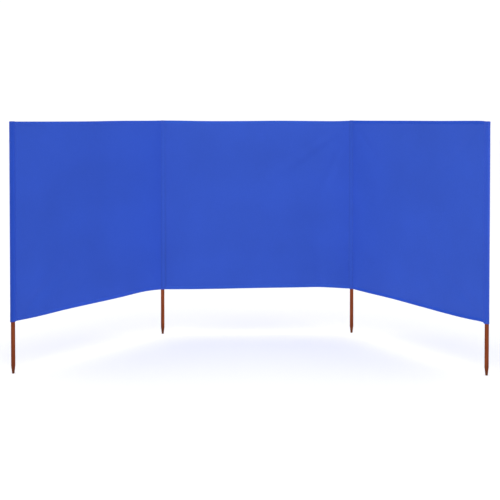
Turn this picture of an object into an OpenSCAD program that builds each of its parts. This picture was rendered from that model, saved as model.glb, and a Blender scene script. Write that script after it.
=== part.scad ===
// Beach windbreak: a length of cloth in three bays, carried on four round wooden poles.
// Each pole stands in a sewn sleeve that is closed at the top and open at the bottom.
// The middle bay stands along X between the two inner poles, and each outer bay turns
// about an inner pole, so that the windbreak can be set out straight, as a U or as a Z.
// The origin is the end of the inner left pole's tip. All sizes are in millimetres.

/* [Poles] */
// Diameter of a pole
pole_d = 25; // [18:0.5:32]
// Length of a pole, from the end of its tip to its top
pole_len = 1500; // [1400:10:1800]
// Length of the tapered tip
tip_len = 42; // [20:1:80]
// Diameter at the end of the tip, before its edge is rounded
tip_d = 14; // [10:0.5:16]
// Rounding of the tip's edge
tip_round = 3; // [1:0.5:4]
// Chamfer round the top of a pole
top_chamfer = 2; // [1:0.5:4]

/* [Cloth] */
// Width of a bay, from pole axis to pole axis
bay_w = 1333; // [900:1:1600]
// Height of the cloth, measured along a sleeve
cloth_h = 1190; // [700:10:1300]
// Thickness of one layer of cloth
cloth_t = 0.5; // [0.3:0.1:1]
// Free space between two layers of cloth
layer_gap = 0.15; // [0.1:0.05:0.4]
// Height of a hem
hem_h = 22; // [12:1:40]
// How far the bottom hems stay above the lower ends of the sleeves
hem_rise = 6; // [2:1:12]
// How far the top hems stay below the tops of the sleeves
hem_drop = 1; // [0.5:0.5:10]

/* [Sleeves] */
// Free space between a pole and the sleeve round it
sleeve_gap = 0.3; // [0.2:0.05:1]
// From the tube of a sleeve to its line of stitching
stitch_ease = 7; // [5:0.5:20]
// Width of the flat seam beyond the stitching
seam_w = 8; // [5:0.5:15]
// Running space round an inner sleeve, on which an outer bay turns
fold_gap = 0.3; // [0.2:0.05:1]

/* [Setting out] */
// How far the left bay is folded forward from straight, in degrees
left_fold = 52; // [-118:1:118]
// How far the right bay is folded forward from straight, in degrees
right_fold = 60.7; // [-118:0.1:118]

/* [Hidden] */

cloth_blue = [0.216, 0.341, 0.769];
hem_blue = [0.196, 0.318, 0.741];
wood_brown = [0.486, 0.247, 0.149];

half_turn = 180;
quarter_turn = 90;
round_fn = 96;
tip_steps = 6;
overrun = 1;

pole_r = pole_d / 2;
tip_r = tip_d / 2;

// A seam holds the edge of a panel between two layers of cloth
panel_half_t = cloth_t / 2;
slot_half_t = panel_half_t + layer_gap;
seam_half_t = slot_half_t + cloth_t;

tube_in_r = pole_r + sleeve_gap;
tube_out_r = tube_in_r + cloth_t;
fold_r = tube_out_r + fold_gap;
stitch_x = tube_out_r + stitch_ease;
seam_end = stitch_x + seam_w;

sleeve_top = pole_len + sleeve_gap + cloth_t;
sleeve_bottom = sleeve_top - cloth_h;
hem_top = sleeve_top - cloth_t - hem_drop;
hem_bottom = sleeve_bottom + hem_rise;
hem_len = bay_w - 2 * (seam_end + layer_gap);

// A hem is folded round the edge of its panel, which stops short of the fold
fold_depth = seam_half_t + layer_gap;
panel_top = hem_top - fold_depth;
panel_bottom = hem_bottom + fold_depth;

// Share of a tube's radius at which its flat sides leave it, with a faint crease
leave_share = 0.995;

// Direction from the tube's axis to where a line through point p touches a circle of radius r
function touch_angle(r, p) = atan2(p.y, p.x) + acos(r / norm(p));

// Outline of half a pole, from the flat end of its tip up to its chamfered top
function pole_outline() =
    let (
        slope = atan2(pole_r - tip_r, tip_len),
        round_x = tip_r - tip_round * (1 - sin(slope)) / cos(slope),
        sweep = quarter_turn - slope
    )
    concat(
        [[0, 0]],
        [for (i = [0:tip_steps]) let (a = i / tip_steps * sweep - quarter_turn)
            [round_x + tip_round * cos(a), tip_round + tip_round * sin(a)]],
        [[pole_r, tip_len], [pole_r, pole_len - top_chamfer],
            [pole_r - top_chamfer, pole_len], [0, pole_len]]
    );

// A turned wooden pole with a tapered tip that is pushed into the sand
module pole() {
    color(wood_brown)
        rotate_extrude($fn = round_fn)
            polygon(pole_outline());
}

// A tube of radius r whose two sides meet along the stitching and run on as a flat seam
module sleeve_form(r, half_t, end_x, h) {
    leave_r = r * leave_share;
    a = touch_angle(leave_r, [stitch_x, half_t]);
    upper = [[leave_r * cos(a), leave_r * sin(a)], [stitch_x, half_t], [end_x, half_t]];
    lower = [for (i = [len(upper) - 1:-1:0]) [upper[i].x, -upper[i].y]];
    union() {
        cylinder(h, r, r, $fn = round_fn);
        linear_extrude(h)
            polygon(concat([[0, 0]], upper, lower));
    }
}

// A pole's sleeve: cloth wrapped round the pole, closed over its top, its seam along +X
module sleeve() {
    color(cloth_blue)
        translate([0, 0, sleeve_bottom])
            difference() {
                sleeve_form(tube_out_r, seam_half_t, seam_end, cloth_h);
                translate([0, 0, -overrun])
                    sleeve_form(tube_in_r, slot_half_t, seam_end + overrun, cloth_h - cloth_t + overrun);
            }
}

// The seam that ties an outer bay to an inner sleeve: two layers of cloth that end at the tube
module fold_seam() {
    color(cloth_blue)
        translate([0, 0, sleeve_bottom])
            linear_extrude(cloth_h)
                difference() {
                    translate([0, -seam_half_t])
                        square([seam_end, 2 * seam_half_t]);
                    circle(fold_r, $fn = round_fn);
                    translate([stitch_x - layer_gap, -slot_half_t])
                        square([seam_w + layer_gap + overrun, 2 * slot_half_t]);
                }
}

// One bay's sheet of cloth, whose four edges are held in the seams and the hems
module panel() {
    color(cloth_blue)
        translate([stitch_x, -panel_half_t, panel_bottom])
            cube([bay_w - 2 * stitch_x, cloth_t, panel_top - panel_bottom]);
}

// Section of a hem: cloth folded over, with its fold at the origin and its open side towards -Y
module hem_section() {
    difference() {
        union() {
            translate([0, -seam_half_t])
                circle(seam_half_t, $fn = round_fn);
            translate([-seam_half_t, -hem_h])
                square([2 * seam_half_t, hem_h - seam_half_t]);
        }
        translate([-slot_half_t, -hem_h - overrun])
            square([2 * slot_half_t, hem_h - seam_half_t + overrun]);
    }
}

// A hem along the top of a bay
module top_hem() {
    color(hem_blue)
        translate([seam_end + layer_gap, 0, hem_top])
            rotate([quarter_turn, 0, quarter_turn])
                linear_extrude(hem_len)
                    hem_section();
}

// A hem along the bottom of a bay, with its fold downwards
module bottom_hem() {
    translate([0, 0, hem_bottom + hem_top])
        mirror([0, 0, 1])
            top_hem();
}

// Places a pole or a sleeve at the far pole of its own bay, with its seam towards the near pole
module at_far_pole() {
    translate([bay_w, 0, 0])
        rotate([0, 0, half_turn])
            children();
}

// The left bay runs from the inner left pole, and the right bay from the inner right pole
module left_bay() {
    rotate([0, 0, half_turn + left_fold])
        children();
}

module right_bay() {
    translate([bay_w, 0, 0])
        rotate([0, 0, -right_fold])
            children();
}

pole();  // inner_left_pole
at_far_pole() pole();  // inner_right_pole
sleeve();  // inner_left_sleeve
at_far_pole() sleeve();  // inner_right_sleeve
panel();  // middle_panel
top_hem();  // middle_top_hem
bottom_hem();  // middle_bottom_hem

left_bay() at_far_pole() pole();  // outer_left_pole
left_bay() at_far_pole() sleeve();  // outer_left_sleeve
left_bay() fold_seam();  // left_fold_seam
left_bay() panel();  // left_panel
left_bay() top_hem();  // left_top_hem
left_bay() bottom_hem();  // left_bottom_hem

right_bay() at_far_pole() pole();  // outer_right_pole
right_bay() at_far_pole() sleeve();  // outer_right_sleeve
right_bay() fold_seam();  // right_fold_seam
right_bay() panel();  // right_panel
right_bay() top_hem();  // right_top_hem
right_bay() bottom_hem();  // right_bottom_hem
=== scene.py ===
import math

import bpy
import numpy as np
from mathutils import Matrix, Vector, noise


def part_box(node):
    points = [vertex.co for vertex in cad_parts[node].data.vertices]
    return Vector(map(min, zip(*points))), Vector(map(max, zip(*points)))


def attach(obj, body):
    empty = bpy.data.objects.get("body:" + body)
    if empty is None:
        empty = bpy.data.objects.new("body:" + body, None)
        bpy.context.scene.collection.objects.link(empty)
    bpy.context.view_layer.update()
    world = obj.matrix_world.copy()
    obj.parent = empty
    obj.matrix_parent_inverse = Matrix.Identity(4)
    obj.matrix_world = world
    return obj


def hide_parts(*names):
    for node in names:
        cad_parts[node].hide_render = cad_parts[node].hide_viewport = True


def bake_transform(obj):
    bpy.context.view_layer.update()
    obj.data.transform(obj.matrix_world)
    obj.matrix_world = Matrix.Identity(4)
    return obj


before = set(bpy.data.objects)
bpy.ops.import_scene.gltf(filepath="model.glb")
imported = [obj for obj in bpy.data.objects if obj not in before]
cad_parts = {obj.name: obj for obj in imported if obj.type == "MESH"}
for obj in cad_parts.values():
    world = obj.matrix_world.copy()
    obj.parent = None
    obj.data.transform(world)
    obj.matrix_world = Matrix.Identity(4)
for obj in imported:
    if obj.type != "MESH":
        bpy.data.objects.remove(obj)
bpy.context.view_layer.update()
scene = bpy.context.scene
print("frame loaded,", len(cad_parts), "solids")

# where the poles stand, and the three bays between them
def axisOf(node):
    low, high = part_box(node)
    return np.array([(low.x + high.x) / 2, (low.y + high.y) / 2])

poleBodies = {
    "outer_left": "left_bay", "inner_left": "middle_bay",
    "inner_right": "middle_bay", "outer_right": "right_bay",
}
poleAt = {pole: axisOf(pole + "_pole") for pole in poleBodies}
bays = {
    "left": {"near": "inner_left", "far": "outer_left", "turn": 1, "body": "left_bay"},
    "middle": {"near": "inner_left", "far": "inner_right", "turn": -1, "body": "middle_bay"},
    "right": {"near": "inner_right", "far": "outer_right", "turn": -1, "body": "right_bay"},
}
for bay in bays.values():
    span = poleAt[bay["far"]] - poleAt[bay["near"]]
    bay["width"] = float(np.linalg.norm(span))
    bay["along"] = span / bay["width"]
    # front is towards the sheltered side
    bay["front"] = bay["turn"] * np.array([-bay["along"][1], bay["along"][0]])

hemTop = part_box("middle_top_hem")[1].z
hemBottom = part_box("middle_bottom_hem")[0].z
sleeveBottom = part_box("inner_left_sleeve")[0].z
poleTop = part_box("inner_left_pole")[1].z
clothTall = hemTop - hemBottom
clothThick = 0.0005
stitchAt = 0.0203                       # from a pole's axis to its line of stitching
stitchLift = clothThick / 2 + 0.00012   # from the middle of the cloth to the middle of a stitch

cameraLook = {
    "place": (0.4498, -6.9132, 1.5346),
    "pitch": -1.5,      # degrees, down is negative
    "yaw": 1.366,       # degrees, towards +X
    "lens": 70.94,
    "sensor": 36,
    "shift": -0.2172,   # the photograph is cropped below the lens axis
}

def makeCamera(look):
    data = bpy.data.cameras.new("photoCamera")
    data.sensor_width = look["sensor"]
    data.lens = look["lens"]
    data.shift_y = look["shift"]
    camera = bpy.data.objects.new("photoCamera", data)
    camera.location = look["place"]
    camera.rotation_euler = (math.radians(90 + look["pitch"]), 0, math.radians(-look["yaw"]))
    scene.collection.objects.link(camera)
    scene.camera = camera

makeCamera(cameraLook)
print("camera placed")

# mesh helpers
seedStep = 7.31       # how far apart two seeds lie in the noise
leastNormal = 1e-12   # guards against dividing by nothing where points coincide

def ease(t):
    t = np.clip(t, 0, 1)
    return t * t * (3 - 2 * t)

def throughKnots(knots, x):
    # smooth curve through (x, y) knots
    kx, ky = np.array(knots, float).T
    slope = np.gradient(ky, kx)
    i = np.clip(np.searchsorted(kx, x) - 1, 0, len(kx) - 2)
    w = kx[i + 1] - kx[i]
    t = np.clip((x - kx[i]) / w, 0, 1)
    return ((2 * t**3 - 3 * t**2 + 1) * ky[i] + (t**3 - 2 * t**2 + t) * w * slope[i]
            + (3 * t**2 - 2 * t**3) * ky[i + 1] + (t**3 - t**2) * w * slope[i + 1])

def noiseAt(x, y, seed):
    x, y = np.broadcast_arrays(x, y)
    flat = [noise.noise(Vector((a, b, seed * seedStep))) for a, b in zip(x.ravel(), y.ravel())]
    return np.array(flat).reshape(x.shape)

def pieceName(*words):
    return words[0] + "".join(word.capitalize() for word in words[1:])

def newPiece(name, verts, faces, smooth, material):
    mesh = bpy.data.meshes.new(name)
    mesh.from_pydata(verts, [], faces)
    mesh.update()
    # the edges of flat faces are sharp too, or they would shade the smooth faces beside them
    sides = np.zeros(len(mesh.polygons), int)
    edgeOf = np.zeros(len(mesh.loops), int)
    mesh.polygons.foreach_get("loop_total", sides)
    mesh.loops.foreach_get("edge_index", edgeOf)
    sharp = np.zeros(len(mesh.edges), bool)
    sharp[edgeOf[np.repeat(~smooth, sides)]] = True
    mesh.polygons.foreach_set("use_smooth", smooth)
    mesh.edges.foreach_set("use_edge_sharp", sharp)
    mesh.materials.append(material)
    piece = bpy.data.objects.new(name, mesh)
    scene.collection.objects.link(piece)
    return piece

def gridFaces(rows, cols, first, flip):
    i = np.arange(rows * cols).reshape(rows, cols) + first
    quads = np.stack([i[:-1, :-1], i[:-1, 1:], i[1:, 1:], i[1:, :-1]], -1).reshape(-1, 4)
    return quads[:, ::-1] if flip else quads

def clothParts(mid, uv, paintedShading, first):
    # a closed sheet of cloth about a grid of points
    rows, cols = mid.shape[:2]
    normal = np.cross(np.gradient(mid, axis=1), np.gradient(mid, axis=0))
    normal /= np.maximum(np.linalg.norm(normal, axis=2, keepdims=True), leastNormal)
    faceSides = [(mid + side * normal * clothThick / 2).reshape(-1, 3) for side in (1, -1)]
    count = rows * cols
    i = np.arange(count).reshape(rows, cols) + first
    rim = np.concatenate([i[0, :], i[1:, -1], i[-1, -2::-1], i[-2:0:-1, 0]])
    after = np.roll(rim, -1)
    edge = np.stack([rim, rim + count, after + count, after], -1)
    faces = np.concatenate([gridFaces(rows, cols, first, False),
                            gridFaces(rows, cols, first + count, True), edge])
    smooth = np.arange(len(faces)) < len(faces) - len(edge)  # the cut edge stays crisp
    return (np.concatenate(faceSides), faces, smooth,
            np.concatenate([uv.reshape(-1, 2)] * 2), np.concatenate([paintedShading.ravel()] * 2))

def clothPiece(name, grids, material):
    # grids are (points, place on the cloth in metres, painted shade as a share, below zero for painted light)
    parts, first = [], 0
    for mid, uv, paintedShading in grids:
        parts.append(clothParts(mid, uv, paintedShading, first))
        first += len(parts[-1][0])
    verts, faces, smooth, uvs, paintedShading = (np.concatenate(part) for part in zip(*parts))
    piece = newPiece(name, verts, faces.tolist(), smooth, material)
    mesh = piece.data
    corners = np.zeros(len(mesh.loops), int)
    mesh.loops.foreach_get("vertex_index", corners)
    layer = mesh.uv_layers.new(name="clothMetres")
    layer.data.foreach_set("uv", uvs.astype(np.float32)[corners].ravel())
    shadingLayer = mesh.attributes.new("paintedShading", "FLOAT", "POINT")
    shadingLayer.data.foreach_set("value", paintedShading.astype(np.float32))
    return piece

# node helpers
def addNode(tree, kind, inputs=None, **settings):
    node = tree.nodes.new(kind)
    for key, value in settings.items():
        setattr(node, key, value)
    for key, value in (inputs or {}).items():
        if isinstance(value, bpy.types.NodeSocket):
            tree.links.new(value, node.inputs[key])
        else:
            node.inputs[key].default_value = value
    return node

def mathNode(tree, operation, a, b=0.0):
    return addNode(tree, "ShaderNodeMath", {0: a, 1: b}, operation=operation).outputs[0]

def noiseNode(tree, vector, scale=1.0, detail=1.0, distortion=0.0):
    inputs = {"Vector": vector, "Scale": scale, "Detail": detail, "Distortion": distortion}
    return addNode(tree, "ShaderNodeTexNoise", inputs).outputs[0]

def stretchNode(tree, vector, factors):
    return addNode(tree, "ShaderNodeVectorMath", {0: vector, 1: factors}, operation="MULTIPLY").outputs[0]

def rangeNode(tree, value, source, target):
    inputs = {0: value, 1: source[0], 2: source[1], 3: target[0], 4: target[1]}
    return addNode(tree, "ShaderNodeMapRange", inputs).outputs[0]

def mixColor(tree, factor, a, b, blend="MIX"):
    node = addNode(tree, "ShaderNodeMix", {0: factor, 6: a, 7: b}, data_type="RGBA", blend_type=blend)
    return node.outputs[2]

def multiply(tree, tone, shade):
    return mixColor(tree, 1.0, tone, shade, "MULTIPLY")

def rampOf(tree, factor, stops):
    node = addNode(tree, "ShaderNodeValToRGB", {0: factor})
    for n, (place, colour) in enumerate(stops):
        stop = node.color_ramp.elements[n] if n < 2 else node.color_ramp.elements.new(place)
        stop.position = place
        stop.color = colour
    return node.outputs[0]

def grey(v):
    return (v, v, v, 1)

def newMaterial(name, finish):
    # finish holds what is the same all over the surface
    material = bpy.data.materials.new(name)
    material.use_nodes = True
    tree = material.node_tree
    shader = tree.nodes["Principled BSDF"]
    for key, value in finish.items():
        shader.inputs[key].default_value = value
    return material, tree, shader

def addBump(tree, shader, height, strength, depth):
    bump = addNode(tree, "ShaderNodeBump", {"Strength": strength, "Distance": depth, "Height": height})
    tree.links.new(bump.outputs[0], shader.inputs["Normal"])

# plain woven cloth
clothLook = {
    "colour": (0.0250, 0.0726, 0.4210, 1),
    # the tints are painted light and shade: lit and shaded copies of one cloth, darker where the cloth is
    # doubled or turned from the light
    "tints": {  # each piece's tone beside the plain colour, as the photograph shows it
        "leftPanel": (0.83, 0.90, 0.97), "leftHem": (0.77, 0.92, 1.02), "leftSleeve": (0.55, 0.80, 1.01),
        "middlePanel": (0.99, 0.98, 0.99), "middleHem": (0.88, 1.05, 1.05), "innerSleeve": (0.92, 0.94, 0.95),
        "rightPanel": (0.94, 0.98, 1.01), "rightHem": (0.54, 0.87, 1.04), "rightSleeve": (0.91, 0.95, 1.05),
    },
    "thread": 0.0008,                           # metres from thread to thread
    "weftLift": 1.08,                           # how much lighter the weft shows
    "slub": 0.045,                              # threads that run a little thick for a few centimetres
    "slubAlong": 14, "slubAcross": 1300,        # changes per metre
    "slubRange": (0.25, 0.75),
    "blotch": 0.045,                            # broad clouds of tone
    "blotchScale": 2.6, "blotchRange": (0.3, 0.7),
    "bump": 0.35, "bumpDepth": 0.0003,
    "finish": {"Roughness": 0.78, "Specular IOR Level": 0.16, "Sheen Weight": 0.08,
               "Sheen Roughness": 0.45, "Sheen Tint": (0.55, 0.68, 1.0, 1)},
}

def unevenTone(tree, factor, ends, amount):
    return rampOf(tree, factor, [(ends[0], grey(1 - amount)), (ends[1], grey(1 + amount))])

def clothMaterial(name, colour, look):
    material, tree, shader = newMaterial(name, look["finish"])
    metres = addNode(tree, "ShaderNodeUVMap", uv_map="clothMetres").outputs[0]
    split = addNode(tree, "ShaderNodeSeparateXYZ", {0: metres})
    waves = [mathNode(tree, "SINE", mathNode(tree, "MULTIPLY", split.outputs[n], math.pi / look["thread"]))
             for n in (0, 1)]
    weave = mathNode(tree, "MULTIPLY", *waves)  # warp on top where positive, weft where negative
    weft = mathNode(tree, "LESS_THAN", weave, 0.0)
    tone = mixColor(tree, weft, colour, tuple(c * look["weftLift"] for c in colour[:3]) + (1,))
    for factors in ((look["slubAlong"], look["slubAcross"], 1), (look["slubAcross"], look["slubAlong"], 1)):
        slub = noiseNode(tree, stretchNode(tree, metres, factors))
        tone = multiply(tree, tone, unevenTone(tree, slub, look["slubRange"], look["slub"]))
    place = addNode(tree, "ShaderNodeTexCoord").outputs["Object"]
    cloud = noiseNode(tree, place, look["blotchScale"], detail=2.0)
    tone = multiply(tree, tone, unevenTone(tree, cloud, look["blotchRange"], look["blotch"]))
    # painted shade from each piece's attribute darkens the cloth, and painted light lightens it where that is
    # below zero
    paintedShading = addNode(tree, "ShaderNodeAttribute", attribute_name="paintedShading").outputs["Fac"]
    tone = multiply(tree, tone, mathNode(tree, "SUBTRACT", 1.0, paintedShading))
    tree.links.new(tone, shader.inputs["Base Color"])
    addBump(tree, shader, mathNode(tree, "ABSOLUTE", weave), look["bump"], look["bumpDepth"])
    return material

# softwood with a red-brown stain
woodLook = {
    "grain": (150, 150, 5),                     # changes per metre along each axis
    "grainTones": [(0.30, (0.112, 0.0200, 0.0044, 1)), (0.72, (0.266, 0.0595, 0.0165, 1)),
                   (0.50, (0.192, 0.0370, 0.0088, 1))],
    "fibres": (900, 900, 16),
    "poreTones": [(0.30, grey(0.62)), (0.52, grey(1.0))],
    "soaked": 0.52, "soakedTo": 0.09,           # the tip drinks more stain, up to this height
    "scuff": (0.300, 0.130, 0.068, 1),          # sand wears some of it off
    "worn": 0.36, "wornTo": 0.05, "wornScale": 260,
    "wornTones": [(0.48, grey(0)), (0.66, grey(1))],
    "roughFrom": (0.3, 0.7), "roughness": (0.68, 0.52),
    "bump": 0.4, "bumpDepth": 0.0004, "fibreBump": 0.7, "grainBump": 0.3,
    "finish": {"Specular IOR Level": 0.1},
}

def woodMaterial(name, look):
    material, tree, shader = newMaterial(name, look["finish"])
    place = addNode(tree, "ShaderNodeTexCoord").outputs["Object"]
    bands = noiseNode(tree, stretchNode(tree, place, look["grain"]), detail=3.0, distortion=0.6)
    fine = noiseNode(tree, stretchNode(tree, place, look["fibres"]), detail=2.0)
    tone = rampOf(tree, bands, look["grainTones"])
    tone = multiply(tree, tone, rampOf(tree, fine, look["poreTones"]))
    rise = addNode(tree, "ShaderNodeSeparateXYZ", {0: place}).outputs[2]
    tone = multiply(tree, tone, rangeNode(tree, rise, (0.0, look["soakedTo"]), (look["soaked"], 1.0)))
    low = rangeNode(tree, rise, (0.0, look["wornTo"]), (look["worn"], 0.0))
    patch = rampOf(tree, noiseNode(tree, place, look["wornScale"], detail=3.0), look["wornTones"])
    tone = mixColor(tree, mathNode(tree, "MULTIPLY", low, patch), tone, look["scuff"])
    tree.links.new(tone, shader.inputs["Base Color"])
    tree.links.new(rangeNode(tree, fine, look["roughFrom"], look["roughness"]), shader.inputs["Roughness"])
    height = mathNode(tree, "ADD", mathNode(tree, "MULTIPLY", fine, look["fibreBump"]),
                      mathNode(tree, "MULTIPLY", bands, look["grainBump"]))
    addBump(tree, shader, height, look["bump"], look["bumpDepth"])
    return material

threadLook = {
    "strand": 1600,
    "tones": [(0.35, (0.024, 0.070, 0.42, 1)), (0.65, (0.040, 0.105, 0.56, 1))],
    "finish": {"Roughness": 0.5, "Sheen Weight": 0.2},
}

def threadMaterial(name, look):
    material, tree, shader = newMaterial(name, look["finish"])
    place = addNode(tree, "ShaderNodeTexCoord").outputs["Object"]
    tone = rampOf(tree, noiseNode(tree, place, look["strand"]), look["tones"])
    tree.links.new(tone, shader.inputs["Base Color"])
    return material

blueCloth = {}
# each piece gets its own copy of the cloth, darkened or lightened by its painted shade tint
for name, tint in clothLook["tints"].items():
    shadedColour = tuple(c * t for c, t in zip(clothLook["colour"], tint)) + (1,)
    blueCloth[name] = clothMaterial(name + "Cloth", shadedColour, clothLook)
stainedWood = woodMaterial("stainedWood", woodLook)
blueThread = threadMaterial("blueThread", threadLook)
print("materials made")

# poles: turned rods with a tapered tip
poleLook = {
    "radius": 0.0125, "tipLength": 0.042, "tipRadius": 0.0070, "tipRound": 0.003, "topChamfer": 0.002,
    "topTurn": (0.3, 0.6),                       # the chamfer's middle ring, as shares down and in
    "shoulder": 0.0016,                          # the taper runs softly into the rod
    "toolMark": 0.00009, "markPitch": 0.0026,    # rings left by turning, on the tip only
    "markEnd": 0.004, "markFade": 0.012,
    "uneven": 0.004, "unevenRound": 1.4, "unevenUp": 3,
    "sides": 48, "roundRings": 8, "tipStep": 0.00065, "tipOver": 0.012, "rodStep": 0.008,
}

def poleProfile(look, length):
    # radius and height of every ring, from the end of the tip to the top
    radius, tip, chamfer = look["radius"], look["tipLength"], look["topChamfer"]
    slope = math.atan2(radius - look["tipRadius"], tip)
    roundX = look["tipRadius"] - look["tipRound"] * (1 - math.sin(slope)) / math.cos(slope)
    turns = np.linspace(-math.pi / 2, -slope, look["roundRings"])
    endZ = look["tipRound"] * (1 + np.sin(turns))
    endR = roundX + look["tipRound"] * np.cos(turns)
    coneZ = np.arange(endZ[-1] + look["tipStep"], tip + look["tipOver"], look["tipStep"])
    coneR = endR[-1] + (coneZ - endZ[-1]) * math.tan(slope)
    soft = look["shoulder"]
    coneR = radius - soft * np.logaddexp(0, (radius - coneR) / soft)
    coneR = np.minimum(coneR + soft * math.log(2) * ease((coneZ - tip / 2) / tip), radius)
    marks = 0.5 + 0.5 * np.cos(2 * math.pi * coneZ / look["markPitch"])
    coneR -= look["toolMark"] * marks * ease((tip + look["markEnd"] - coneZ) / look["markFade"])
    rodZ = np.arange(coneZ[-1] + look["rodStep"], length - chamfer - look["rodStep"] / 2, look["rodStep"])
    down, inwards = look["topTurn"]
    topZ = [length - chamfer, length - chamfer * down, length]
    topR = [radius, radius - chamfer * inwards, radius - chamfer]
    return (np.concatenate([endR, coneR, np.full(len(rodZ), radius), topR]),
            np.concatenate([endZ, coneZ, rodZ, topZ]))

def makePole(pole, seed, look):
    radius, z = poleProfile(look, poleTop)
    turn = np.linspace(0, 2 * math.pi, look["sides"], endpoint=False)
    bumps = noiseAt(np.cos(turn)[None, :] * look["unevenRound"] + z[:, None] * look["unevenUp"],
                    np.sin(turn)[None, :] * look["unevenRound"], seed)
    ring = radius[:, None] * (1 - look["uneven"] * (0.5 + 0.5 * bumps))
    centre = poleAt[pole]
    verts = np.stack([centre[0] + ring * np.cos(turn), centre[1] + ring * np.sin(turn),
                      np.repeat(z[:, None], len(turn), 1)], -1).reshape(-1, 3)
    i = np.arange(ring.size).reshape(ring.shape)
    nextCol = np.roll(i, -1, 1)
    faces = np.stack([i[:-1], nextCol[:-1], nextCol[1:], i[1:]], -1).reshape(-1, 4).tolist()
    faces += [i[0, ::-1].tolist(), i[-1].tolist()]
    smooth = np.arange(len(faces)) < len(faces) - 2  # all but the two ends
    return newPiece(pieceName(*pole.split("_"), "pole"), verts, faces, smooth, stainedWood)

for number, (name, body) in enumerate(poleBodies.items()):
    pole = makePole(name, number + 1, poleLook)
    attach(pole, body)
    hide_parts(name + "_pole")
print("poles turned")

# each bay's lie: edges as (share of the width, mm off the straight),
# folds as (from, to, half width in metres, height in mm)
clothLie = {
    "left": {
        "belly": -9.0, "seed": 3,
        "topEdge": [(0, 1.2), (0.1, 0.4), (0.3, 0.9), (0.5, -1.2), (0.75, -1.2), (1, 0.2)],
        "bottomEdge": [(0, -2.4), (0.04, 2.0), (0.12, 7.6), (0.3, 2.2), (0.5, -0.8), (0.7, -3.2),
                       (0.87, -7.4), (0.96, -6.2), (1, -5.5)],
        "folds": [((1.0, 1.0), (0.45, 0.62), 0.060, 5.0), ((1.0, 0.0), (0.40, 0.42), 0.075, -5.5),
                  ((0.0, 1.0), (0.55, 0.80), 0.055, -3.5), ((0.0, 0.02), (0.30, 0.30), 0.070, 5.0),
                  ((0.95, 0.55), (0.20, 0.50), 0.110, 4.0)],
    },
    "middle": {
        "belly": -7.0, "seed": 11,
        "topEdge": [(0, 1.4), (0.08, 0.6), (0.2, -2.2), (0.45, -2.2), (0.6, -0.4), (0.8, -2.4),
                    (0.93, -2.8), (1, 0.2)],
        "bottomEdge": [(0, -2.2), (0.12, -3.3), (0.25, -2.8), (0.5, 1.9), (0.75, 6.0), (0.82, 7.5),
                       (0.9, 3.8), (0.97, -1.6), (1, -3.5)],
        "folds": [((1.0, 1.0), (0.40, 0.52), 0.050, 5.5), ((1.0, 0.97), (0.72, 0.30), 0.055, -4.0),
                  ((0.84, 0.0), (0.80, 0.34), 0.065, -5.0), ((0.0, 1.0), (0.42, 0.86), 0.060, 3.5),
                  ((0.0, 0.0), (0.45, 0.30), 0.070, 4.0)],
    },
    "right": {
        "belly": -6.0, "seed": 19,
        "topEdge": [(0, 1.0), (0.12, 0.7), (0.45, 2.0), (0.7, 2.4), (0.88, 4.2), (0.96, 4.4), (1, 2.6)],
        "bottomEdge": [(0, -1.0), (0.03, -2.4), (0.08, -4.2), (0.35, -4.6), (0.55, -8.6), (0.78, -11.2),
                       (0.9, -7.6), (0.96, -4.0), (1, -4.4)],
        "folds": [((1.0, 1.0), (0.50, 0.55), 0.060, 4.5), ((0.0, 1.0), (0.40, 0.60), 0.060, -4.5),
                  ((1.0, 0.02), (0.50, 0.36), 0.065, -4.0), ((0.0, 0.0), (0.35, 0.34), 0.060, 4.0)],
    },
}

# how all the cloth hangs, with heights in mm and lengths in metres
hangLook = {
    "bellyAtEdges": 0.4,                            # share of the belly that is left at the hems
    "foldNarrow": 0.45, "foldSpread": 0.8,          # a fold starts narrow and spreads
    "foldHollow": 0.9, "foldReach": 1.25, "foldStart": 0.25, "foldRise": 0.2,
    "waves": [(2.6, 3.1, 2.3, 0), (1.1, 7.5, 5.1, 1)],   # (height, along a metre, up the cloth, seed)
    "heldOver": 0.14,                               # the seams hold it flat over this width
    "tautShare": 0.30, "tautFrom": 1.02, "tautOver": 0.35,   # it is tighter along the top
    "ripple": 0.9, "rippleFade": 0.05, "rippleFrom": 0.02, "rippleAlong": 4, "rippleUp": 26,
    "bottomFade": 1.6,                              # how soon the bottom edge's shape dies out upwards
}
# the cloth runs this far in front of the poles' axes
standOff = {"outer_left": 0.0065, "inner_left": 0.0080, "inner_right": 0.0080, "outer_right": 0.0105}
standFade = 0.22

def heightShare(z):
    return (z - hemBottom) / clothTall

def foldHeight(name, u, h):
    look, wide, out = hangLook, bays[name]["width"], 0
    for (a0, h0), (a1, h1), half, high in clothLie[name]["folds"]:
        start = np.array([a0 * wide, h0 * clothTall])
        d = np.array([a1 * wide, h1 * clothTall]) - start
        x, y = u - start[0], h * clothTall - start[1]
        t = np.clip((x * d[0] + y * d[1]) / (d @ d), 0, look["foldReach"])
        spread = half * (look["foldNarrow"] + look["foldSpread"] * t)
        q = ((x - t * d[0])**2 + (y - t * d[1])**2) / spread**2
        along = (1 - ease(t / look["foldReach"])) * ease(t / look["foldRise"] + look["foldStart"])
        out = out + high * (1 - look["foldHollow"] * q) * np.exp(-q) * along
    return out

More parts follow.
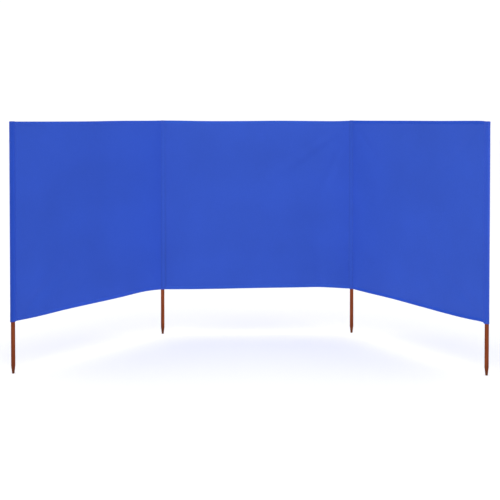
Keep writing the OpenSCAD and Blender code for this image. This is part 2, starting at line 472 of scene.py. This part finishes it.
def clothOffset(name, u, h):
    # how far the cloth stands to the front of the line between the poles, in metres
    bay, lie, look = bays[name], clothLie[name], hangLook
    farSide = bay["width"] - u
    tall = np.sin(math.pi * np.clip(h, 0, 1))
    out = lie["belly"] * np.sin(math.pi * u / bay["width"])
    out = out * (look["bellyAtEdges"] + (1 - look["bellyAtEdges"]) * tall) + foldHeight(name, u, h)
    for high, along, up, seed in look["waves"]:
        out = out + high * noiseAt(u * along, h * up, lie["seed"] + seed)
    held = ease((u - stitchAt) / look["heldOver"]) * ease((farSide - stitchAt) / look["heldOver"])
    slack = ease((look["tautFrom"] - h) / look["tautOver"])
    taut = look["tautShare"] + (1 - look["tautShare"]) * slack
    stand = standOff[bay["near"]] * np.exp(-(u / standFade)**2)
    stand = stand + standOff[bay["far"]] * np.exp(-(farSide / standFade)**2)
    # short ripples that start from the sleeves' stitching
    ripple = look["ripple"] * (np.exp(-u / look["rippleFade"]) + np.exp(-farSide / look["rippleFade"]))
    ripple = ripple * noiseAt(u * look["rippleAlong"], h * look["rippleUp"], lie["seed"] + 2)
    ripple = ripple * ease((np.minimum(u, farSide) - stitchAt) / look["rippleFrom"])
    return (out * held * taut + ripple) / 1000 + stand

def clothPoint(name, u, z):
    # a point of the hung cloth: u along the bay, z before the edges' rise and fall
    bay, lie = bays[name], clothLie[name]
    h = heightShare(z)
    a = np.clip(u / bay["width"], 0, 1)
    lift = throughKnots(lie["topEdge"], a) * ease(h)
    lift = lift + throughKnots(lie["bottomEdge"], a) * (1 - ease(h * hangLook["bottomFade"]))
    out = clothOffset(name, u, h)
    plan = poleAt[bay["near"]] + u[..., None] * bay["along"] + out[..., None] * bay["front"]
    return np.concatenate([plan, (z + lift / 1000)[..., None]], -1)

# painted shade and light on the cloth, as shares of its piece's plain tone
paintedShadingLook = {
    # painted shade in the creases beside the seams, stronger towards the bottom
    "seams": {  # beside the stitching, at the top and at the bottom
        "outer_left": (0, 0), "inner_left": (0.02, 0.15), "inner_right": (0.02, 0.04), "outer_right": (0, 0),
    },
    # patches of painted shade, and of painted light where the depth is below zero
    "patches": {  # (centre, half size, depth), below zero where it looks lighter
        "left": [((0.50, 0.65), (0.30, 0.13), 0.06), ((0.52, 0.22), (0.30, 0.17), 0.06),
                 ((0.45, 0.45), (0.32, 0.12), 0.025), ((0.95, 0.42), (0.16, 0.55), -0.050),
                 ((0.00, 0.10), (0.14, 0.22), -0.050)],
        "middle": [((1.00, 0.70), (0.17, 0.45), -0.072), ((0.55, 0.08), (0.38, 0.22), -0.028),
                   ((0.27, 0.72), (0.20, 0.30), 0.030)],
        "right": [((0.25, 0.72), (0.17, 0.32), 0.040), ((0.40, 0.33), (0.17, 0.12), 0.032),
                  ((1.00, 0.50), (0.35, 0.80), -0.034)],
    },
    # painted shade round the side of each outer sleeve away from the bay
    "outerEdge": {"outer_left": 0.27, "outer_right": 0.14},  # round the side away from the bay
}

def seamShade(pole, z):
    high, low = paintedShadingLook["seams"][pole]
    return low + (high - low) * np.clip(heightShare(z), 0, 1)

panelLook = {
    "step": 0.009, "edge": np.array([0, 0.003, 0.006, 0.009]),  # finer columns beside the seams
    "sideTuck": 0.0012, "hemTuck": 0.001,                       # how far it reaches into seams and hems
    "seamFrom": 0.030, "seamFade": 0.007,
}

def makePanel(name, look):
    bay, edge, step = bays[name], look["edge"], look["step"]
    u0, u1 = stitchAt - look["sideTuck"], bay["width"] - stitchAt + look["sideTuck"]
    u = np.arange(u0 + edge[-1] + step, u1 - edge[-1] - step / 2, step)
    u = np.concatenate([u0 + edge, u, u1 - edge[::-1]])
    z = np.linspace(hemBottom + look["hemTuck"], hemTop - look["hemTuck"], int(clothTall / step))
    uu, zz = np.meshgrid(u, z)
    paintedShading = np.zeros(uu.shape)
    # painted shade beside the seams
    for pole, away in ((bay["near"], uu), (bay["far"], bay["width"] - uu)):
        paintedShading += seamShade(pole, zz) * ease((look["seamFrom"] - away) / look["seamFade"])
    # painted patches of shade and light
    for (a, h), (wide, tall), depth in paintedShadingLook["patches"][name]:
        x, y = uu / bay["width"] - a, heightShare(zz) - h
        paintedShading += depth * np.exp(-(x / wide)**4 - (y / tall)**4)
    grid = (clothPoint(name, uu, zz), np.stack([uu, zz], -1), paintedShading)
    return clothPiece(pieceName(name, "panel"), [grid], blueCloth[name + "Panel"])

# hems, folded over the edges of a panel
hemLook = {
    # (drop from the fold, stand-off) in mm, from the front stitching over the fold to the back's raw edge
    "section": [(20.9, 0.02), (20.2, 0.22), (19.4, 0.55), (17.5, 0.95), (14, 1.15), (9, 1.2), (4.5, 1.05),
                (1.6, 0.85), (0.4, 0.55), (0, 0), (0.4, -0.55), (1.6, -0.85), (4.5, -1.0), (9, -1.1),
                (14, -1.05), (18, -0.8), (19.6, -0.55), (20.6, -0.6), (21.8, -0.75), (22.8, -0.7)],
    "frontLine": 2, "backLine": 16,               # points of the section that the stitching runs along
    "frontEnd": 1, "backEnd": 3,                  # columns that it leaves free at each end
    "edges": {"top": {"at": hemTop, "up": -1, "seed": 40}, "bottom": {"at": hemBottom, "up": 1, "seed": 60}},
    "sideTuck": 0.0006, "step": 0.0032,
    "pucker": 0.45, "fine": (95, 9, 60), "broad": (33, 5), "broadShare": 0.6,
    "endShare": 0.35, "endFade": 0.03,            # pressed flatter where a seam crosses it
    "clothFrom": 2.0,                             # keeps its weave apart from the panel's
}

def makeHem(name, edge, look):
    bay, own = bays[name], look["edges"][edge]
    u0, u1 = stitchAt - look["sideTuck"], bay["width"] - stitchAt + look["sideTuck"]
    u = np.linspace(u0, u1, int(bay["width"] / look["step"]))
    drop, stand = np.array(look["section"]).T / 1000
    uu, dd = np.meshgrid(u, drop)
    seed = clothLie[name]["seed"] + own["seed"]
    side = np.sign(stand)[:, None]
    fine, broad = look["fine"], look["broad"]
    crease = noiseAt(uu * fine[0], side * fine[1] + dd * fine[2], seed)
    crease = crease + look["broadShare"] * noiseAt(uu * broad[0], side * broad[1], seed + 1)
    ends = ease((uu - stitchAt) / look["endFade"]) * ease((bay["width"] - stitchAt - uu) / look["endFade"])
    stands = stand[:, None] * (look["endShare"] + ends * (1 + look["pucker"] * crease - look["endShare"]))
    outwards = np.array([*bay["front"], 0.0])
    mid = clothPoint(name, uu, own["at"] + own["up"] * dd) + stands[..., None] * outwards
    run = np.concatenate([[0], np.cumsum(np.hypot(np.diff(drop), np.diff(stand)))])
    uv = np.stack([uu, np.repeat(run[:, None], len(u), 1) + look["clothFrom"]], -1)
    frontLine = mid[look["frontLine"], look["frontEnd"]:-look["frontEnd"]] + stitchLift * outwards
    backLine = mid[look["backLine"], look["backEnd"]:-look["backEnd"]] - stitchLift * outwards
    stitchLines[bay["body"]] += [frontLine, backLine]
    return clothPiece(pieceName(name, edge, "hem"), [(mid, uv, np.zeros(uu.shape))], blueCloth[name + "Hem"])

stitchLines = {"left_bay": [], "middle_bay": [], "right_bay": [], "inner_left": [], "inner_right": []}
panels, hems = {}, {}
for name, bay in bays.items():
    panels[name] = makePanel(name, panelLook)
    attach(panels[name], bay["body"])
    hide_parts(name + "_panel")
    hems[name] = []
    for edge in hemLook["edges"]:
        hem = makeHem(name, edge, hemLook)
        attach(hem, bay["body"])
        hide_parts(f"{name}_{edge}_hem")
        hems[name].append(hem)
    print(name, "panel and hems hung")

# sleeves: cloth round a pole, closed over its top, sewn to the panels beside it
sleeveLook = {
    "radius": 0.01315,
    "meet": 0.0196,                               # from the axis to where the two layers meet
    "frontOff": 0.0006, "backOff": -0.0009,       # how far each layer lies off the panel there
    # the layers' ends as (from the axis, off the panel): tucked under at the front, raw at the back
    "frontTail": [(0.0212, 0.00005), (0.0205, 0.00035)],
    "backTail": [(0.0283, -0.0014), (0.0255, -0.0014), (0.0225, -0.00133), (0.0206, -0.00105)],
    "tailGap": 0.0005,                            # points this far beyond the meeting are tails
    "tailInset": 0.0009,                          # which stop this far inside the hems' edges
    "levelFrom": 0.0132,                          # from here to the meeting, the ends run over to the hems
    "cornerPull": 0.008,                          # how softly the front layer turns an inside corner
    "sidePoints": 6, "arcPoints": 7, "cornerPoints": 17,   # those round an arc are per radian
    "capShare": 0.82,                             # how far the closed top reaches over the far side
    "lowerEnd": {"outer_left": -0.001, "inner_left": 0.0038, "inner_right": 0.0016, "outer_right": -0.0035},
    "slack": {"outer_left": (0.0028, 0.0052), "outer_right": (0.0, 0.0022)},  # room at top and bottom
    # rows, in mm above the lower end, and below and above the rim of the closed top
    "lowRows": [0, 1.5, 4, 7.5, 10.5, 12.5, 15],
    "highRows": [24, 20.5, 16, 12, 8, 4, 0],
    "closing": [(0.07, 1.3), (0.15, 2.2), (0.26, 2.75), (0.45, 2.85), (0.65, 2.9), (0.82, 2.95),
                (0.94, 3.0), (1, 3.2), (1, 3.8)],  # (how far closed, height)
    "rimDrop": 0.0024, "bodyFrom": 0.022, "bodyTo": 0.03, "step": 0.009,
    "lowRing": 4, "highRing": -15,                # rows that the end stitching runs along
    "wrinkle": 0.0010, "wrinkleCalm": 0.25, "wrinkleEnds": 0.9, "wrinkleLift": 0.25,
    "wrinkleLow": 0.05, "wrinkleHigh": 0.06,      # how soon it fades from the lower and the upper end
    "wrinkleRound": 55, "wrinkleUp": 42, "wrinkleSlant": 18, "wrinkleStop": 0.004,
    "turnUp": 0.012, "turnUpThick": 0.0004, "turnUpEdge": 0.002,
    "sag": 0.0007, "sagRound": 30, "sagTo": 0.03,
    "seamFrom": 0.0165, "seamFade": 0.0045,
    "stitchOffs": (0.0009, -0.0017), "stitchInset": 0.002, "stitchPoints": 40,
    "outerSeed": 5, "innerSeed": 8,
    "clothApart": 0.37,                           # keeps the sleeves' weaves apart
    "bendHeight": 1.0,                            # the fold is the same at any height
}

def sideOf(direction, front):
    # +1 where turning from direction towards front is anticlockwise
    return 1 if direction[0] * front[1] - direction[1] * front[0] > 0 else -1

def tautPath(start, end, turn, look):
    # plan of cloth pulled tight from start round the pole to end
    radius = look["radius"]
    a0 = math.atan2(start[1], start[0]) + turn * math.acos(radius / np.linalg.norm(start))
    a1 = math.atan2(end[1], end[0]) - turn * math.acos(radius / np.linalg.norm(end))
    sweep = (turn * (a1 - a0)) % (2 * math.pi)
    angle = a0 + turn * np.linspace(0, sweep, 3 + int(sweep * look["arcPoints"]))
    arc = radius * np.stack([np.cos(angle), np.sin(angle)], -1)
    t = np.linspace(0, 1, look["sidePoints"])[:, None]
    return np.concatenate([(start * (1 - t) + arc[0] * t)[:-1], arc, (arc[-1] * (1 - t) + end * t)[1:]])

def softPath(start, away0, end, away1, look):
    # plan of cloth that turns an inside corner in front of a pole
    t = np.linspace(0, 1, look["cornerPoints"])[:, None]
    c0, c1 = start - away0 * look["cornerPull"], end - away1 * look["cornerPull"]
    return start * (1 - t)**3 + 3 * c0 * t * (1 - t)**2 + 3 * c1 * t**2 * (1 - t) + end * t**3

def seamTail(direction, front, stand, pairs):
    # a layer's last few millimetres, along a panel
    return np.array([x * direction + (stand + off) * front for x, off in pairs])

def sleeveRows(bottom, look):
    # heights of the rows, and how far each is closed over the pole's top
    rim = poleTop - look["rimDrop"]
    body = np.arange(bottom + look["bodyFrom"], rim - look["bodyTo"], look["step"])
    close, rise = np.array(look["closing"]).T
    z = np.concatenate([bottom + np.array(look["lowRows"]) / 1000, body,
                        rim - np.array(look["highRows"]) / 1000, rim + rise / 1000])
    return z, np.concatenate([np.zeros(len(z) - len(close)), close])

def sleeveGrid(pole, plan, ridge, bottom, low, high, seed, look):
    # plan is the open section, ridge the closed one, low and high where its columns end
    z, close = sleeveRows(bottom, look)
    run = np.concatenate([[0], np.cumsum(np.linalg.norm(np.diff(plan, axis=0), axis=1))])
    reach = np.linalg.norm(plan, axis=1)
    zz, ss = np.meshgrid(z, run, indexing="ij")
    ends = np.exp(-(zz - bottom) / look["wrinkleLow"]) + np.exp(-(z[-1] - zz) / look["wrinkleHigh"])
    crease = noiseAt(ss * look["wrinkleRound"], zz * look["wrinkleUp"] + ss * look["wrinkleSlant"], seed)
    bulge = look["wrinkle"] * (look["wrinkleCalm"] + look["wrinkleEnds"] * ends)
    bulge = bulge * np.maximum(0, crease + look["wrinkleLift"])
    # the end is turned up and sewn
    bulge += look["turnUpThick"] * ease((bottom + look["turnUp"] - zz) / look["turnUpEdge"])
    loose = ease((look["meet"] - reach) / look["wrinkleStop"])  # only the tube wrinkles
    bulge *= loose[None, :] * (1 - close[:, None])
    flat = plan[None] + bulge[..., None] * (plan / reach[:, None])[None]
    flat = flat * (1 - close[:, None, None]) + ridge[None] * close[:, None, None]
    sag = look["sag"] * noiseAt(ss * look["sagRound"], zz * 0, seed + 2)
    sag = sag * ease((bottom + look["sagTo"] - zz) / look["sagTo"])
    level = low + (zz - bottom) * (high - low) / (z[-1] - bottom)
    mid = np.concatenate([flat + poleAt[pole], (level + sag)[..., None]], -1)
    # painted shade beside the seams, as on the panels
    paintedShading = seamShade(pole, zz) * ease((reach - look["seamFrom"]) / look["seamFade"])
    return mid, np.stack([ss + seed * look["clothApart"], zz], -1), paintedShading

def hemEnds(name, u):
    # heights of a bay's bottom and top edge at u
    edges = (("bottomEdge", hemBottom), ("topEdge", hemTop))
    a = np.array(u / bays[name]["width"])
    return [base + float(throughKnots(clothLie[name][edge], a)) / 1000 for edge, base in edges]

def endLevel(points, sides, own, inset, look):
    # where a sleeve's columns end: with the hems at its seams, at its own level on the tube
    level = np.full(len(points), own)
    for direction, edge in sides:
        along = points @ direction
        near = ease((along - look["levelFrom"]) / (look["meet"] - look["levelFrom"]))
        level = level + (edge + inset * (along > look["meet"] + look["tailGap"]) - own) * near
    return level

def columnEnds(plan, ridge, sides, bottom, look):
    # sides are (direction, heights of the hems' edges)
    top = sleeveRows(bottom, look)[0][-1]
    low = endLevel(plan, [(way, ends[0]) for way, ends in sides], bottom, look["tailInset"], look)
    high = endLevel(ridge, [(way, ends[1]) for way, ends in sides], top, -look["tailInset"], look)
    return low, high

def seamLines(pole, direction, front, ends, look):
    # stitching down both faces of a seam
    z = np.linspace(ends[0] + look["stitchInset"], ends[1] - look["stitchInset"], look["stitchPoints"])
    lines = []
    for off in look["stitchOffs"]:
        plan = poleAt[pole] + stitchAt * direction + (standOff[pole] + off) * front
        lines.append(np.column_stack([np.tile(plan, (len(z), 1)), z]))
    return lines

def ringLines(mid, pole, look):
    # stitching round a sleeve, near both ends
    lines = []
    for row in (look["lowRing"], look["highRing"]):
        line = mid[row].copy()
        away = line[:, :2] - poleAt[pole]
        line[:, :2] += away / np.linalg.norm(away, axis=1, keepdims=True) * stitchLift
        lines.append(line)
    return lines

def makeOuterSleeve(name, look):
    bay = bays[name]
    pole, towards, front = bay["far"], -bay["along"], bay["front"]
    stand, bottom = standOff[pole], sleeveBottom + look["lowerEnd"][pole]
    start = look["meet"] * towards + (stand + look["frontOff"]) * front
    end = look["meet"] * towards + (stand + look["backOff"]) * front
    first = seamTail(towards, front, stand, look["frontTail"])
    last = seamTail(towards, front, stand, look["backTail"])
    plan = np.concatenate([first, tautPath(start, end, sideOf(towards, front), look), last[::-1]])
    along = plan @ towards
    ridge = np.where(along < 0, look["capShare"], 1.0)[:, None] * along[:, None] * towards
    ridge = ridge + (stand * np.clip(along / look["meet"], 0, 1))[:, None] * front
    ends = hemEnds(name, bay["width"] - stitchAt)
    low, high = columnEnds(plan, ridge, [(towards, ends)], bottom, look)
    seed = clothLie[name]["seed"] + look["outerSeed"]
    mid, uv, paintedShading = sleeveGrid(pole, plan, ridge, bottom, low, high, seed, look)
    outer = np.maximum(0, -along / np.linalg.norm(plan, axis=1))  # how far round a column is from the bay
    z, close = sleeveRows(bottom, look)
    slack = np.interp(z, (bottom, poleTop), look["slack"][pole][::-1]) * (1 - close)
    mid[..., :2] -= slack[:, None, None] * (outer**2)[None, :, None] * towards
    # painted shade, deeper round the side away from the bay
    paintedShading = paintedShading + paintedShadingLook["outerEdge"][pole] * outer
    tube = mid[:, len(first):-len(last)]
    stitchLines[bay["body"]] += seamLines(pole, towards, front, ends, look) + ringLines(tube, pole, look)
    return clothPiece(pieceName("outer", name, "sleeve"), [(mid, uv, paintedShading)], blueCloth[name + "Sleeve"])

def makeInnerSleeve(name, look):
    # a front and a back strip between the middle bay and an outer one
    bay, middle = bays[name], bays["middle"]
    pole = bay["near"]
    stand, bottom = standOff[pole], sleeveBottom + look["lowerEnd"][pole]
    toMiddle = middle["along"] if name == "left" else -middle["along"]
    toSide, frontMiddle, frontSide = bay["along"], middle["front"], bay["front"]
    middleEnds = hemEnds("middle", stitchAt if name == "left" else middle["width"] - stitchAt)
    sides = [(toMiddle, middleEnds), (toSide, hemEnds(name, stitchAt))]
    grids = []
    for layer in ("front", "back"):
        off = stand + look[layer + "Off"]
        start = look["meet"] * toMiddle + off * frontMiddle
        end = look["meet"] * toSide + off * frontSide
        if layer == "front":
            path = softPath(start, toMiddle, end, toSide, look)
        else:
            path = tautPath(start, end, -sideOf(toMiddle, frontMiddle), look)
        share = np.linspace(0, 1, len(path))[:, None]
        ridge = np.where(share < 0.5, (1 - 2 * share) * start, (2 * share - 1) * end)
        first = seamTail(toMiddle, frontMiddle, stand, look[layer + "Tail"])
        last = seamTail(toSide, frontSide, stand, look[layer + "Tail"])[::-1]
        plan = np.concatenate([first, path, last])
        ridge = np.concatenate([first, ridge, last])
        low, high = columnEnds(plan, ridge, sides, bottom, look)
        seed = clothLie[name]["seed"] + look["innerSeed"] + len(grids)
        grids.append(sleeveGrid(pole, plan, ridge, bottom, low, high, seed, look))
        stitchLines[pole] += ringLines(grids[-1][0][:, len(first):-len(last)], pole, look)
    fronts = (frontMiddle, frontSide)
    for body, front, (direction, ends) in zip(("middle_bay", bay["body"]), fronts, sides):
        stitchLines[body] += seamLines(pole, direction, front, ends, look)
    piece = clothPiece(pieceName("inner", name, "sleeve"), grids, blueCloth["innerSleeve"])
    bend = [poleAt[pole] + stitchAt * way + stand * front for (way, ends), front in zip(sides, fronts)]
    return piece, [(*plan, look["bendHeight"]) for plan in bend]

sleeves, bends = {}, {}
for name in ("left", "right"):
    bay = bays[name]
    sleeve = makeOuterSleeve(name, sleeveLook)
    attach(sleeve, bay["body"])
    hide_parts(f"outer_{name}_sleeve")
    sleeves["outer_" + name] = sleeve
    sleeve, bend = makeInnerSleeve(name, sleeveLook)
    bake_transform(sleeve)
    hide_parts(f"inner_{name}_sleeve", f"{name}_fold_seam")
    sleeves["inner_" + name] = sleeve
    bends["inner_" + name] = bend
print("sleeves sewn")

# stitching, from one tree: a short fat thread at every step of each line
stitchLook = {"Pitch": 0.0046, "Length": 0.0036, "Thread": 0.0007, "Crook": 0.07, "Seed": 5}

def stitchTree(look):
    tree = bpy.data.node_groups.new("stitching", "GeometryNodeTree")
    sockets = tree.interface
    sockets.new_socket("Lines", in_out="INPUT", socket_type="NodeSocketGeometry")
    for key, value in look.items():
        kind = "NodeSocketInt" if key == "Seed" else "NodeSocketFloat"
        sockets.new_socket(key, in_out="INPUT", socket_type=kind).default_value = value
    sockets.new_socket("Material", in_out="INPUT", socket_type="NodeSocketMaterial")
    sockets.new_socket("Stitches", in_out="OUTPUT", socket_type="NodeSocketGeometry")
    given = tree.nodes.new("NodeGroupInput").outputs
    points = addNode(tree, "GeometryNodeCurveToPoints", {"Curve": given["Lines"], "Length": given["Pitch"]},
                     mode="LENGTH")
    crook = addNode(tree, "ShaderNodeCombineXYZ", {n: given["Crook"] for n in range(3)}).outputs[0]
    back = addNode(tree, "ShaderNodeVectorMath", {0: crook, "Scale": -1.0}, operation="SCALE").outputs[0]
    skew = addNode(tree, "FunctionNodeRandomValue", {0: back, 1: crook, "Seed": given["Seed"]},
                   data_type="FLOAT_VECTOR")
    lean = addNode(tree, "ShaderNodeVectorMath", {0: points.outputs["Tangent"], 1: skew.outputs[0]},
                   operation="ADD")
    turn = addNode(tree, "FunctionNodeAlignRotationToVector", {"Vector": lean.outputs[0]}, axis="Z")
    thread = addNode(tree, "GeometryNodeMeshUVSphere", {"Segments": 5, "Rings": 4, "Radius": 0.5})
    size = addNode(tree, "ShaderNodeCombineXYZ", {0: given["Thread"], 1: given["Thread"], 2: given["Length"]})
    placed = addNode(tree, "GeometryNodeInstanceOnPoints", {
        "Points": points.outputs["Points"], "Instance": thread.outputs["Mesh"],
        "Rotation": turn.outputs[0], "Scale": size.outputs[0]})
    real = addNode(tree, "GeometryNodeRealizeInstances", {0: placed.outputs[0]})
    smooth = addNode(tree, "GeometryNodeSetShadeSmooth", {0: real.outputs[0]})
    done = addNode(tree, "GeometryNodeSetMaterial", {
        "Geometry": smooth.outputs[0], "Material": given["Material"]})
    tree.links.new(done.outputs[0], tree.nodes.new("NodeGroupOutput").inputs[0])
    return tree

def makeStitches(name, lines, tree, look):
    curve = bpy.data.curves.new(name + "Lines", "CURVE")
    curve.dimensions = "3D"
    for line in lines:
        spline = curve.splines.new("POLY")
        spline.points.add(len(line) - 1)
        spline.points.foreach_set("co", np.c_[line, np.ones(len(line))].ravel())
    guide = bpy.data.objects.new(name + "Lines", curve)
    scene.collection.objects.link(guide)
    sewing = guide.modifiers.new("sewing", "NODES")
    sewing.node_group = tree
    for item in tree.interface.items_tree:
        if item.in_out == "INPUT" and item.name in look:
            sewing[item.identifier] = look[item.name]
        elif item.in_out == "INPUT" and item.name == "Material":
            sewing[item.identifier] = blueThread
    graph = bpy.context.evaluated_depsgraph_get()
    mesh = bpy.data.meshes.new_from_object(guide.evaluated_get(graph), depsgraph=graph)
    bpy.data.objects.remove(guide)
    bpy.data.curves.remove(curve)
    mesh.name = name
    piece = bpy.data.objects.new(name, mesh)
    scene.collection.objects.link(piece)
    return piece

sewingTree = stitchTree(stitchLook)
for place, lines in stitchLines.items():
    words = place.split("_")
    piece = makeStitches(pieceName(*words, "stitches"), lines, sewingTree, stitchLook)
    if place in bends:
        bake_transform(piece)
    else:
        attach(piece, place)

# floor and light
stageLook = {
    "floorRadius": 60, "floorSides": 64,
    "floor": {"Base Color": (0.96, 0.96, 0.96, 1), "Roughness": 0.9, "Specular IOR Level": 0.1},
    "sky": (1, 1, 1, 1), "skyStrength": 1.05,
    "lights": {  # two broad ones, and a gridded one across each corner of the cloth
        "key": {"watts": 85, "at": (0.0, -8.2, 4.4), "aim": (0.6, -0.5, 0.8), "size": 5.0, "spread": 180},
        "over": {"watts": 90, "at": (0.6, -1.6, 6.5), "aim": (0.6, -0.5, 0.8), "size": 7.0, "spread": 180},
        "leftFill": {"watts": 2.4, "at": (3.0, -2.15, 1.2), "aim": (0.0, -0.02, 0.82),
                     "size": 1.3, "spread": 38},
        "rightFill": {"watts": 1.9, "at": (-1.6, -1.85, 1.2), "aim": (1.36, -0.03, 0.82),
                      "size": 1.3, "spread": 38},
    },
}

def makeFloor(look):
    data = bpy.data.meshes.new("floor")
    turn = np.linspace(0, 2 * math.pi, look["floorSides"], endpoint=False)
    rim = look["floorRadius"] * np.stack([np.cos(turn), np.sin(turn), turn * 0], -1)
    data.from_pydata(rim, [], [list(range(len(rim)))])
    data.materials.append(newMaterial("paleFloor", look["floor"])[0])
    floor = bpy.data.objects.new("floor", data)
    scene.collection.objects.link(floor)

def makeLight(look):
    world = bpy.data.worlds.new("studio")
    world.use_nodes = True
    background = world.node_tree.nodes["Background"]
    background.inputs["Color"].default_value = look["sky"]
    background.inputs["Strength"].default_value = look["skyStrength"]
    scene.world = world
    for name, own in look["lights"].items():
        lamp = bpy.data.lights.new(name, "AREA")
        lamp.energy = own["watts"]
        lamp.size = own["size"]
        lamp.spread = math.radians(own["spread"])
        light = bpy.data.objects.new(name, lamp)
        light.location = own["at"]
        light.rotation_euler = (Vector(own["aim"]) - Vector(own["at"])).to_track_quat("-Z", "Y").to_euler()
        light.visible_camera = False
        scene.collection.objects.link(light)
    scene.view_settings.view_transform = "Standard"

makeFloor(stageLook)
makeLight(stageLook)
print("stage set")
